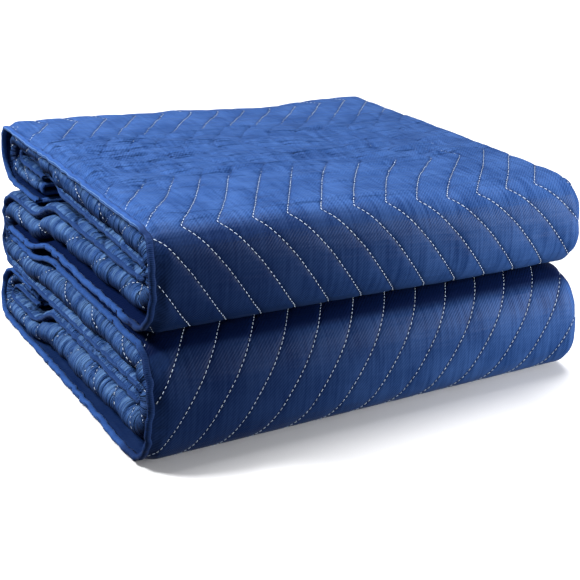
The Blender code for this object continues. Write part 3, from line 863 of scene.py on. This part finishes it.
@dataclass
class QuiltedCloth:
    """The quilted cloth through all its folds, as one closed skin with close rows where it shows."""

    blanket: Blanket
    shown_step: float = 0.0036
    plain_step: float = 0.0057
    fold_steps: int = 11
    inner_steps: int = 5
    line_offsets: tuple[float, ...] = (-0.0085, -0.0042, -0.0014, 0.0, 0.0014, 0.0042, 0.0085, 0.0175)
    near_left: tuple[float, ...] = (0.004, 0.008, 0.012, 0.017, 0.023, 0.031, 0.042, 0.060, 0.10, 0.22)
    plain: tuple[float, ...] = (0.004, 0.012, 0.030, 0.070, 0.20)
    nose_steps: tuple[float, ...] = (0.0, 0.3, 0.55, 0.75, 0.88, 0.96, 1.0)
    edge_keep: float = 0.0016
    gathered_to: float = 0.018
    gathered_fade: float = 0.014
    gathered_crumple: float = 2.0

    def stretches(self) -> list[tuple[Place, float, float]]:
        """Where a quilted face shows: its layer and the runs between which it does."""
        spans = self.blanket.path.spans
        return [
            (Place.LAYER_1, spans["top_tuck"][0] - 0.02, spans["upper_front"][1] + 0.030),
            (Place.LAYER_1, spans["lower_front"][0] - 0.030, spans["lower_front"][1] - 0.010),
            (Place.LAYER_1, spans["bottom_tuck"][0], spans["bottom_tuck"][1] + 0.01),
            (Place.LAYER_4, spans["middle_back"][0] - 0.010, spans["middle_back"][1] + 0.010),
        ]

    def shows(self, run: float, place: Place) -> bool:
        """Whether the quilted face of a layer shows at a length run."""
        return any(place is shown and low <= run <= high for shown, low, high in self.stretches())

    def runs(self) -> np.ndarray:
        """The lengths run at which the cloth's outline is laid."""
        length = self.blanket.path.length
        tape = self.blanket.block.tape_width
        taper = self.blanket.block.hem_taper
        runs = [0.0, tape, tape + taper / 2, tape + taper]
        while runs[-1] < length - tape - taper - self.plain_step:
            at = runs[-1]
            close = self.shows(at, Place.LAYER_1)
            runs.append(at + (self.shown_step if close else self.plain_step))
        return np.array(runs + [length - tape - taper, length - tape - taper / 2, length - tape, length])

    def columns(self, section: CrossSection, place: Place, side: Side) -> tuple[np.ndarray, np.ndarray]:
        """Flat places across a layer or a fold, and the keys by which the next row is joined to them.

        Args:
            section: the strip's cross-section.
            place: layer or fold.
            side: face of the cloth.

        Returns:
            The rising flat places and their rising keys.
        """
        begin, end = section.bounds(place)
        tape = self.blanket.block.tape_width
        begin += tape if place is Place.LAYER_1 else 0.0
        end -= tape if place is Place.LAYER_4 else 0.0
        if place in FOLDS:
            outside = (side is Side.FACE) != (place is Place.ROLL)
            share = np.linspace(0.0, 1.0, (self.fold_steps if outside else self.inner_steps) + 1)
            return begin + (end - begin) * share, share
        if side is Side.FACE and self.shows(section.run, place):
            quilting = self.blanket.quilting
            numbers = np.arange(-6, math.ceil(4 * self.blanket.block.length / quilting.pitch) + 6)
            lines = quilting.places(section.run, numbers)
            inside = (lines[:, None] + np.array(self.line_offsets)).ravel()
            keys = (quilting.pitch * numbers[:, None] + np.array(self.line_offsets)).ravel()
            kept = (inside > begin + self.edge_keep) & (inside < end - self.edge_keep)
            flat = np.concatenate([[begin], inside[kept], [end]])
            ends = np.interp(flat[[0, -1]], inside, keys)
            return flat, np.concatenate([ends[:1], keys[kept], ends[1:]])
        dense = side is Side.LINING and place in (Place.LAYER_2, Place.LAYER_3)
        steps = np.array((0.0,) + (self.near_left if dense else self.plain))
        from_left = np.concatenate([steps, [end - begin - 0.025, end - begin]])
        if place in (Place.LAYER_2, Place.LAYER_4):
            return end - from_left[::-1], np.arange(len(from_left), dtype=float)
        return begin + from_left, np.arange(len(from_left), dtype=float)

    def outline(self, section: CrossSection) -> list[list[tuple[np.ndarray, ...]]]:
        """For each side, its stretches in order: keys, points, flat places, nearness and depth."""
        tape = self.blanket.block.tape_width
        sides = []
        for side in (Side.FACE, Side.LINING):
            row = []
            for place in Place:
                flat, keys = self.columns(section, place, side)
                row.append((keys, flat, place))
            first = section.bounds(Place.LAYER_1)[0]
            last = section.bounds(Place.LAYER_4)[1]
            nose = np.array(self.nose_steps)
            row = [(np.array([0.0, 1.0]), np.array([first, first + tape]), Place.LAYER_1)] + row
            row = row + [(nose, last - tape * (1.0 - nose), Place.LAYER_4)]
            laid = []
            for keys, flat, place in row:
                points, near = section.face(place, flat, side)
                depth = np.full(len(flat), self.depth(place, side))
                laid.append((keys, points, flat, near, depth))
            if side is Side.LINING:
                laid = [(-k[::-1], *(values[::-1] for values in rest)) for k, *rest in laid[::-1]]
            sides.append(laid)
        return sides

    def build(self, material: bpy.types.Material) -> bpy.types.Object:
        """Lays every row, joins each to the next and closes the two ends.

        Args:
            material: the cloth's finish.

        Returns:
            The cloth.
        """
        points, uv, near, crumple, painted_shade, inside, faces = [], [], [], [], [], [], []
        before = first = None
        for run in self.runs():
            section = self.blanket.section(run)
            amount = self.blanket.relief.creased(run)
            painted_shade_rule = self.blanket.relief.painted_shade_rule(run)
            now = []
            for row in self.outline(section):
                side, last = [], None
                for keys, places, flat, close, depth in row:
                    rolled = self.rolled(flat)
                    fresh = slice(0 if last is None else 1, None)
                    begin = len(points)
                    points.extend(places[fresh])
                    uv.extend((value, run) for value in flat[fresh])
                    hidden = 0.0 if rolled else 1.4 * max(amount - 0.5, 0.0)
                    near.extend(close[fresh] * (1.0 - hidden))
                    painted_shade.extend(painted_shade_rule(places[fresh][:, 0], flat[fresh]).tolist())
                    beyond = np.maximum(places[fresh][:, 0] - self.gathered_to, 0.0)
                    left = np.exp(-beyond / self.gathered_fade)
                    crumple.extend(np.maximum(amount, self.gathered_crumple * left * rolled).tolist())
                    # Each point's share of the gathered rolls, and how much painted shade it takes in the
                    # left end's hollows.
                    inside.extend(zip(left * rolled, np.clip(depth[fresh] - left, 0.0, 1.0)))
                    ids = list(range(begin, len(points)))
                    ids = ids if last is None else [last] + ids
                    side.append((ids, keys))
                    last = ids[-1]
                now.append(side)
            if before is not None:
                self.join(faces, before, now)
            first = first or now
            before = now
        for side_a, side_b in (first, before):
            for (top, _), (low, _) in zip(side_a, side_b[::-1]):
                even_top, even_low = (np.linspace(0.0, 1.0, len(ids)) for ids in (top, low))
                self.zip(faces, top, even_top, low[::-1], even_low)
        placed = self.blanket.block.settle(np.array(points))
        cloth = mesh_object("moving_blanket_cloth", placed, faces, np.array(uv), material)
        turn_outwards(cloth)
        gathered, deep = np.array(inside).T
        # Painted shade: the rolls darker on their downward sides and deep in the left end's hollows.
        upward = np.array([v.normal.z for v in cloth.data.vertices])
        shade = np.maximum(0.97 * gathered * smooth((0.42 - upward) / 0.95), 0.97 * deep)
        # Painted highlight on the upward crests of the rolls.
        painted_highlight = 0.62 * gathered * (1.0 - deep) * smooth((upward - 0.05) / 0.75)
        painted_shade = np.maximum(painted_shade, shade)
        for name, values in (("painted_dark", near), ("crumple", crumple), ("painted_shade", painted_shade), ("painted_highlight", painted_highlight)):
            layer = cloth.data.attributes.new(name, "FLOAT", "POINT")
            layer.data.foreach_set("value", np.array(values, np.float32))
        return cloth

    def depth(self, place: Place, side: Side) -> float:
        """How much painted shade a face takes in the left end's hollows: most for the skin's lining, 0
        outside.
        """
        if side is Side.LINING:
            return 1.85 if place is Place.LAYER_1 else 1.0
        return 1.0 if place is Place.ROLL else 0.0

    def rolled(self, flat: np.ndarray) -> bool:
        """Whether a stretch of the cloth lies inside the skin, where the left end is gathered."""
        return float(flat[0] + flat[-1]) / 2 > 1.2 * self.blanket.block.length

    def join(self, faces: list, before: list, now: list) -> None:
        """Joins two rows all round, their rims too."""
        for side_a, side_b in zip(before, now):
            for (ids_a, keys_a), (ids_b, keys_b) in zip(side_a, side_b):
                self.zip(faces, ids_a, keys_a, ids_b, keys_b)
        for a, b in ((0, 1), (1, 0)):
            old = (before[a][-1][0][-1], before[b][0][0][0])
            new = (now[a][-1][0][-1], now[b][0][0][0])
            faces.append((old[0], old[1], new[1], new[0]))

    @staticmethod
    def zip(faces: list, ids_a: list, keys_a: np.ndarray, ids_b: list, keys_b: np.ndarray) -> None:
        """Adds the triangles between two rows of points whose keys both rise."""
        i = j = 0
        while i < len(ids_a) - 1 or j < len(ids_b) - 1:
            ahead_a = keys_a[i + 1] if i < len(ids_a) - 1 else math.inf
            ahead_b = keys_b[j + 1] if j < len(ids_b) - 1 else math.inf
            if ahead_a <= ahead_b:
                faces.append((ids_a[i], ids_a[i + 1], ids_b[j]))
                i += 1
            else:
                faces.append((ids_a[i], ids_b[j + 1], ids_b[j]))
                j += 1


def turn_outwards(obj: bpy.types.Object) -> None:
    """Turns a closed piece's faces outwards, judged by its volume."""
    mesh = obj.data
    mesh.calc_loop_triangles()
    points = np.array([v.co for v in mesh.vertices])
    corners = np.array([t.vertices for t in mesh.loop_triangles])
    a, b, c = points[corners[:, 0]], points[corners[:, 1]], points[corners[:, 2]]
    if np.einsum("ij,ij->i", a, np.cross(b, c)).sum() < 0.0:
        mesh.flip_normals()
    mesh.update()


@dataclass
class BindingTape:
    """A tape folded over an edge of the cloth, where the cloth is sewn thin."""

    blanket: Blanket
    name: str
    replaces: str
    width: float = 0.0048
    thick: float = 0.0007
    gap: float = 0.00030
    step: float = 0.0026
    curl: float = 0.0004
    plain_pale: float = 0.15
    plain_shade: float = 0.25
    uneven: Unevenness = Unevenness(13)

    def outline(self, half: float) -> np.ndarray:
        """The tape's U over an edge: (distance into the cloth, height over its middle)."""
        skin = half + self.gap
        over = skin + self.thick
        beyond = self.gap + self.thick
        nose = 0.5 * half
        bend = 0.6 * self.width
        return np.array([
            (self.width, over - self.curl), (bend, over), (0.0, over), (-beyond, nose),
            (-beyond, -nose), (0.0, -over), (bend, -over), (self.width, self.curl - over),
            (self.width, -skin), (0.0, -skin), (-self.gap, -nose),
            (-self.gap, nose), (0.0, skin), (self.width, skin)])

    def rings(self) -> tuple[list[np.ndarray], list[float]]:
        """The tape's outlines and how far along it each lies."""
        raise NotImplementedError

    def paleness(self, along: float) -> float:
        """How plainly the tape's pale sewing, partly a painted rim highlight, shows at a distance along
        it.
        """
        return self.plain_pale

    def darkness(self, along: float) -> float:
        """How much painted shade the tape takes at a distance along it."""
        return self.plain_shade

    def build(self, material: bpy.types.Material) -> bpy.types.Object:
        """Joins the outlines into one closed tape.

        Args:
            material: the tape's finish.

        Returns:
            The tape.
        """
        rings, along = self.rings()
        count = len(rings[0])
        faces = []
        for row in range(len(rings) - 1):
            for k in range(count):
                following = (k + 1) % count
                a = row * count
                faces.append((a + k, a + following, a + count + following, a + count + k))
        for a in (0, (len(rings) - 1) * count):
            for k in range(count // 2 - 1):
                cap = (a + k, a + k + 1, a + count - 2 - k, a + count - 1 - k)
                faces.append(cap[::-1] if a == 0 else cap)
        around = np.linspace(0.0, 0.045, count)
        uv = np.array([(u, v) for v in along for u in around])
        points = self.blanket.block.settle(np.concatenate(rings))
        tape = mesh_object(self.name, points, faces, uv, material)
        for key, rule in (("pale", self.paleness), ("painted_shade", self.darkness)):
            values = np.repeat([rule(v) for v in along], count).astype(np.float32)
            tape.data.attributes.new(key, "FLOAT", "POINT").data.foreach_set("value", values)
        turn_outwards(tape)
        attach(tape, "root")
        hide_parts(self.replaces)
        return tape


@dataclass
class SideTape(BindingTape):
    """The tape over a long edge of the cloth, which ends at the left on one of the layers."""

    layer: int = 1

    def paleness(self, along: float) -> float:
        """The pale sewing shows along the top's rim only, where it also stands in for a painted rim
        highlight.
        """
        spans = self.blanket.path.spans
        top = float(bump(along, spans["top_tuck"][1], spans["upper_front"][0] + 0.01, 0.02))
        return top if self.layer == 1 else self.plain_pale

    def darkness(self, along: float) -> float:
        """Painted shade on the tape: on the fronts, and between the rolls."""
        if self.layer == 4:
            return 0.45
        fronts = [self.blanket.path.spans[name] for name in ("upper_front", "lower_front")]
        return 0.70 * max(float(bump(along, begin + 0.03, end, 0.02)) for begin, end in fronts)

    def rings(self) -> tuple[list[np.ndarray], list[float]]:
        """The tape's outlines along the whole strip."""
        rings = []
        length = self.blanket.path.length
        runs = np.linspace(0.0, length, int(length / self.step) + 1)
        for run in runs:
            section = self.blanket.section(run)
            hem = section.outer_hem if self.layer == 1 else section.inner_hem
            height = float(section.height(self.layer, hem))
            outline = self.outline(self.blanket.block.hem_share * section.base)
            scale = section.base / self.blanket.block.cloth_half
            outline[:, 0] += 0.0012 * scale * float(self.uneven.at(run / 0.0075, 3.0 * self.layer))
            outline[:, 1] *= 1.0 + 0.16 * float(self.uneven.at(run / 0.0065, 3.0 * self.layer + 7.0))
            rings.append(section.world(outline + (hem, height)))
        return rings, runs.tolist()


@dataclass
class EndTape(BindingTape):
    """The tape over a short edge of the cloth, through its four layers inside the tuck."""

    at_end: bool = False
    corner: float = 0.0020
    layer_steps: int = 4
    turn_steps: int = 7

    def rings(self) -> tuple[list[np.ndarray], list[float]]:
        """The tape's outlines across the cloth."""
        section = self.blanket.section(self.blanket.path.length if self.at_end else 0.0)
        outline = self.outline(self.blanket.block.hem_share * section.base)
        keep = self.blanket.block.tape_width + self.corner
        places, ways, along = [], [], []
        for place in Place:
            begin, end = section.bounds(place)
            begin += keep if place is Place.LAYER_1 else 0.0
            end -= keep if place is Place.LAYER_4 else 0.0
            flat = np.linspace(begin, end, (self.turn_steps if place in FOLDS else self.layer_steps) + 1)
            flat = flat if place is Place.LAYER_4 else flat[:-1]
            middle, normal = section.middle(place, flat)
            places.extend(middle)
            ways.extend(normal)
            along.extend(flat.tolist())
        rings = []
        for place, way in zip(places, ways):
            points = section.world(place + outline[:, 1:] * way)
            points[:, 1] += outline[:, 0]
            rings.append(points)
        return rings, along


@dataclass
class Stitching:
    """The quilting stitches: short threads at an even pitch along every line that shows."""

    blanket: Blanket
    pitch: float = 0.0052
    length: float = 0.0036
    radius: float = 0.00047
    over: float = 0.00030
    hem_keep: float = 0.0062
    top_share: float = 0.78
    sunk: float = 0.00018
    sample: float = 0.0030
    end_keep: float = 0.026
    roll_reach: float = 0.070

    def shown(self, run: float, place: Place) -> list[Side]:
        """On which sides the lines of a layer or fold can be seen at a length run."""
        spans = self.blanket.path.spans
        if place is Place.LAYER_1:
            top = spans["top_tuck"][0] - 0.01 < run < spans["upper_front"][1] - 0.002
            low = spans["lower_front"][0] + 0.006 < run < spans["lower_front"][1] - 0.012
            back = spans["bottom_tuck"][0] + 0.012 < run < spans["bottom_tuck"][1]
            return [Side.FACE] if top or low or back else []
        if place in (Place.FOLD_1, Place.FOLD_3):
            return [Side.FACE]
        if place is Place.LAYER_4:
            back = spans["middle_back"][0] - 0.02 < run < spans["middle_back"][1] + 0.02
            return [Side.FACE] if back else []
        return [Side.LINING]

    def lines(self) -> list[list[np.ndarray]]:
        """Every visible line as points on its face of the cloth, cut where it goes out of sight."""
        quilting = self.blanket.quilting
        block = self.blanket.block
        running: dict[tuple[int, Side], list[np.ndarray]] = {}
        done: list[list[np.ndarray]] = []
        for run in np.arange(self.end_keep, self.blanket.path.length - self.end_keep, self.sample):
            section = self.blanket.section(run)
            numbers = np.arange(-6, math.ceil(4 * block.length / quilting.pitch) + 6)
            flats = quilting.places(run, numbers)
            kept = (flats > section.hems[0] + self.hem_keep) & (flats < section.hems[1] - self.hem_keep)
            flats, numbers = flats[kept], numbers[kept]
            seen = {}
            for place in Place:
                begin, end = section.bounds(place)
                inside = (flats >= begin) & (flats < end)
                if place is Place.LAYER_2:
                    inside &= 2 * block.length - flats < self.roll_reach
                if place is Place.LAYER_3:
                    inside &= flats - 2 * block.length < self.roll_reach
                skin = place is Place.LAYER_1
                on_top = float(bump(quilting.edge - run, 0.0, 0.60, 0.012)) if skin else 0.0
                hidden = self.blanket.relief.creased(run) ** 2 * on_top
                scale = 1.0 - (1.0 - self.top_share) * on_top - 0.20 * hidden
                for side in self.shown(run, place):
                    over = self.over - self.sunk * (on_top + 3.0 * hidden)
                    points, _ = section.face(place, flats[inside], side, over)
                    for number, point in zip(numbers[inside], points):
                        seen[(int(number), side)] = (*point, scale)
            for key in [key for key in running if key not in seen]:
                done.append(running.pop(key))
            for key, point in seen.items():
                running.setdefault(key, []).append(point)
        done.extend(running.values())
        return [line for line in done if len(line) > 2]

    def tree(self, material: bpy.types.Material) -> bpy.types.NodeTree:
        """The node tree that sets a stitch at every step of a line."""
        tree = bpy.data.node_groups.new("stitches_along_lines", "GeometryNodeTree")
        face = tree.interface
        face.new_socket("Lines", in_out="INPUT", socket_type="NodeSocketGeometry")
        for name in ("Stitch Pitch", "Stitch Length", "Thread Radius"):
            face.new_socket(name, in_out="INPUT", socket_type="NodeSocketFloat")
        face.new_socket("Stitches", in_out="OUTPUT", socket_type="NodeSocketGeometry")
        new = tree.nodes.new
        link = tree.links.new
        entry = new("NodeGroupInput")
        curve = new("GeometryNodeMeshToCurve")
        link(entry.outputs["Lines"], curve.inputs["Mesh"])
        spaced = new("GeometryNodeResampleCurve")
        spaced.mode = "LENGTH"
        link(curve.outputs["Curve"], spaced.inputs["Curve"])
        link(entry.outputs["Stitch Pitch"], spaced.inputs["Length"])
        stitch = new("GeometryNodeMeshUVSphere")
        stitch.inputs["Segments"].default_value = 5
        stitch.inputs["Rings"].default_value = 4
        stitch.inputs["Radius"].default_value = 1.0
        tangent = new("GeometryNodeInputTangent")
        turned = new("FunctionNodeAlignRotationToVector")
        turned.axis = "Z"
        link(tangent.outputs["Tangent"], turned.inputs["Vector"])
        half = new("ShaderNodeMath")
        half.operation = "MULTIPLY"
        half.inputs[1].default_value = 0.5
        link(entry.outputs["Stitch Length"], half.inputs[0])
        uneven = new("FunctionNodeRandomValue")
        uneven.data_type = "FLOAT"
        uneven.inputs["Min"].default_value = 0.84
        uneven.inputs["Max"].default_value = 1.12
        uneven.inputs["Seed"].default_value = 5
        reach = new("ShaderNodeMath")
        reach.operation = "MULTIPLY"
        link(half.outputs[0], reach.inputs[0])
        link(next(s for s in uneven.outputs if s.type == "VALUE" and s.enabled), reach.inputs[1])
        share = new("GeometryNodeInputNamedAttribute")
        share.data_type = "FLOAT"
        share.inputs["Name"].default_value = "thread"
        radius = new("ShaderNodeMath")
        radius.operation = "MULTIPLY"
        link(entry.outputs["Thread Radius"], radius.inputs[0])
        link(share.outputs["Attribute"], radius.inputs[1])
        size = new("ShaderNodeCombineXYZ")
        link(radius.outputs[0], size.inputs["X"])
        link(radius.outputs[0], size.inputs["Y"])
        link(reach.outputs[0], size.inputs["Z"])
        placed = new("GeometryNodeInstanceOnPoints")
        link(spaced.outputs["Curve"], placed.inputs["Points"])
        link(stitch.outputs["Mesh"], placed.inputs["Instance"])
        link(turned.outputs["Rotation"], placed.inputs["Rotation"])
        link(size.outputs["Vector"], placed.inputs["Scale"])
        real = new("GeometryNodeRealizeInstances")
        link(placed.outputs["Instances"], real.inputs["Geometry"])
        dressed = new("GeometryNodeSetMaterial")
        dressed.inputs["Material"].default_value = material
        link(real.outputs["Geometry"], dressed.inputs["Geometry"])
        leave = new("NodeGroupOutput")
        link(dressed.outputs["Geometry"], leave.inputs["Stitches"])
        return tree

    def build(self, material: bpy.types.Material) -> bpy.types.Object:
        """Lays the stitches along the lines.

        Args:
            material: the thread's finish.

        Returns:
            The stitches, as one piece.
        """
        points, edges = [], []
        for line in self.lines():
            begin = len(points)
            points.extend(line)
            edges += [(k, k + 1) for k in range(begin, len(points) - 1)]
        table = np.array(points)
        guide_mesh = bpy.data.meshes.new("quilting_lines")
        guide_mesh.from_pydata(self.blanket.block.settle(table[:, :3]).tolist(), edges, [])
        thread = guide_mesh.attributes.new("thread", "FLOAT", "POINT")
        thread.data.foreach_set("value", table[:, 3].astype(np.float32))
        guide = bpy.data.objects.new("quilting_lines", guide_mesh)
        bpy.context.scene.collection.objects.link(guide)
        tree = self.tree(material)
        modifier = guide.modifiers.new("stitches", "NODES")
        modifier.node_group = tree
        values = {"Stitch Pitch": self.pitch, "Stitch Length": self.length, "Thread Radius": self.radius}
        for item in tree.interface.items_tree:
            if item.name in values:
                modifier[item.identifier] = values[item.name]
        bpy.context.view_layer.update()
        evaluated = guide.evaluated_get(bpy.context.evaluated_depsgraph_get())
        mesh = bpy.data.meshes.new_from_object(evaluated)
        guide.modifiers.remove(modifier)
        bpy.data.objects.remove(guide)
        mesh.name = "quilting_stitches"
        mesh.polygons.foreach_set("use_smooth", np.ones(len(mesh.polygons), dtype=bool))
        stitches = bpy.data.objects.new("quilting_stitches", mesh)
        bpy.context.scene.collection.objects.link(stitches)
        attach(stitches, "root")
        return stitches


@dataclass
class Studio:
    """A pale floor, soft light and the camera."""

    aim: tuple[float, float, float] = (0.0, -0.00425, 0.108)
    distance: float = 1.518
    turn: float = -28.304
    rise: float = 19.591
    focal_pixels: float = 1361.0
    aim_pixel: tuple[float, float] = (275.18, 251.02)
    floor_half: float = 12.0
    floor_drop: float = 0.0005
    floor_glow: float = 0.03
    sky: float = 0.20
    sun: float = 3.5

    def camera(self) -> None:
        """Sets the camera at the photograph's angle."""
        az, el = math.radians(self.turn), math.radians(self.rise)
        back = Vector((math.sin(az) * math.cos(el), -math.cos(az) * math.cos(el), math.sin(el)))
        data = bpy.data.cameras.new("camera")
        data.sensor_width = 36.0
        data.lens = self.focal_pixels / PHOTO_PIXELS * data.sensor_width
        data.shift_x = (PHOTO_PIXELS / 2 - self.aim_pixel[0]) / PHOTO_PIXELS
        data.shift_y = -(PHOTO_PIXELS / 2 - self.aim_pixel[1]) / PHOTO_PIXELS
        data.clip_end = 60.0
        obj = bpy.data.objects.new("camera", data)
        obj.matrix_world = Matrix.Translation(Vector(self.aim) + back * self.distance) @ \
            back.to_track_quat("Z", "Y").to_matrix().to_4x4()
        bpy.context.scene.collection.objects.link(obj)
        bpy.context.scene.camera = obj

    def floor(self) -> None:
        """Lays the floor."""
        mesh = bpy.data.meshes.new("floor")
        corners = [(x * self.floor_half, y * self.floor_half, -self.floor_drop)
                   for x, y in ((-1, -1), (1, -1), (1, 1), (-1, 1))]
        mesh.from_pydata(corners, [], [(0, 1, 2, 3)])
        board = NodeBoard("pale_floor")
        board.shader.inputs["Base Color"].default_value = (0.93, 0.93, 0.94, 1.0)
        board.shader.inputs["Roughness"].default_value = 0.85
        board.shader.inputs["Emission Color"].default_value = (1.0, 1.0, 1.0, 1.0)
        board.shader.inputs["Emission Strength"].default_value = self.floor_glow
        mesh.materials.append(board.material)
        obj = bpy.data.objects.new("floor", mesh)
        bpy.context.scene.collection.objects.link(obj)
        obj.visible_diffuse = False
        obj.visible_glossy = False

    def light(self, kind: str, name: str, energy: float, place: tuple[float, float, float],
              size: float) -> bpy.types.Object:
        """Adds a light that looks at the block's middle.

        Args:
            kind: SUN or AREA.
            name: the light's name.
            energy: its strength.
            place: where it stands.
            size: a sun's angle in degrees, or an area's width in metres.

        Returns:
            The light.
        """
        data = bpy.data.lights.new(name, kind)
        data.energy = energy
        if kind == "SUN":
            data.angle = math.radians(size)
        else:
            data.size = size
        obj = bpy.data.objects.new(name, data)
        obj.location = place
        towards = Vector(self.aim) - Vector(place)
        obj.rotation_euler = towards.to_track_quat("-Z", "Y").to_euler()
        obj.visible_camera = False
        bpy.context.scene.collection.objects.link(obj)
        return obj

    def build(self) -> None:
        """Sets the whole studio up."""
        world = bpy.data.worlds.new("soft_surround")
        world.use_nodes = True
        world.node_tree.nodes["Background"].inputs["Color"].default_value = (1.0, 1.0, 1.0, 1.0)
        world.node_tree.nodes["Background"].inputs["Strength"].default_value = self.sky
        bpy.context.scene.world = world
        bpy.context.scene.view_settings.view_transform = "Standard"
        self.light("SUN", "overhead", self.sun, (0.40, 0.45, 2.2), 34.0)
        self.light("AREA", "left_strip", 34.0, (-1.2, 0.30, 1.25), 0.40)
        self.light("AREA", "right_low", 23.0, (0.98, -0.92, 0.22), 0.6)
        self.floor()
        self.camera()


def main() -> None:
    """Builds the cloth, its tapes and its stitches, and the studio round them."""
    logging.basicConfig(level=logging.INFO, format="%(message)s")
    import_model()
    blanket = Blanket()
    tape = Tape().material()
    tapes = [
        SideTape(blanket, "outer_side_tape", "skin_side_binding", layer=1),
        SideTape(blanket, "inner_side_tape", "inner_side_binding", layer=4),
        EndTape(blanket, "top_end_tape", "top_end_binding"),
        EndTape(blanket, "bottom_end_tape", "bottom_end_binding", at_end=True),
    ]
    pieces = [piece.build(tape) for piece in tapes]
    pieces.append(Stitching(blanket).build(Thread().material()))
    cloth = QuiltedCloth(blanket).build(Weave().material())
    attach(cloth, "root")
    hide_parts("quilted_cloth")
    for piece in [*pieces, cloth]:
        LOG.info("%s: %d points, %d faces", piece.name, len(piece.data.vertices), len(piece.data.polygons))
    Studio().build()


if __name__ == "__main__":
    main()
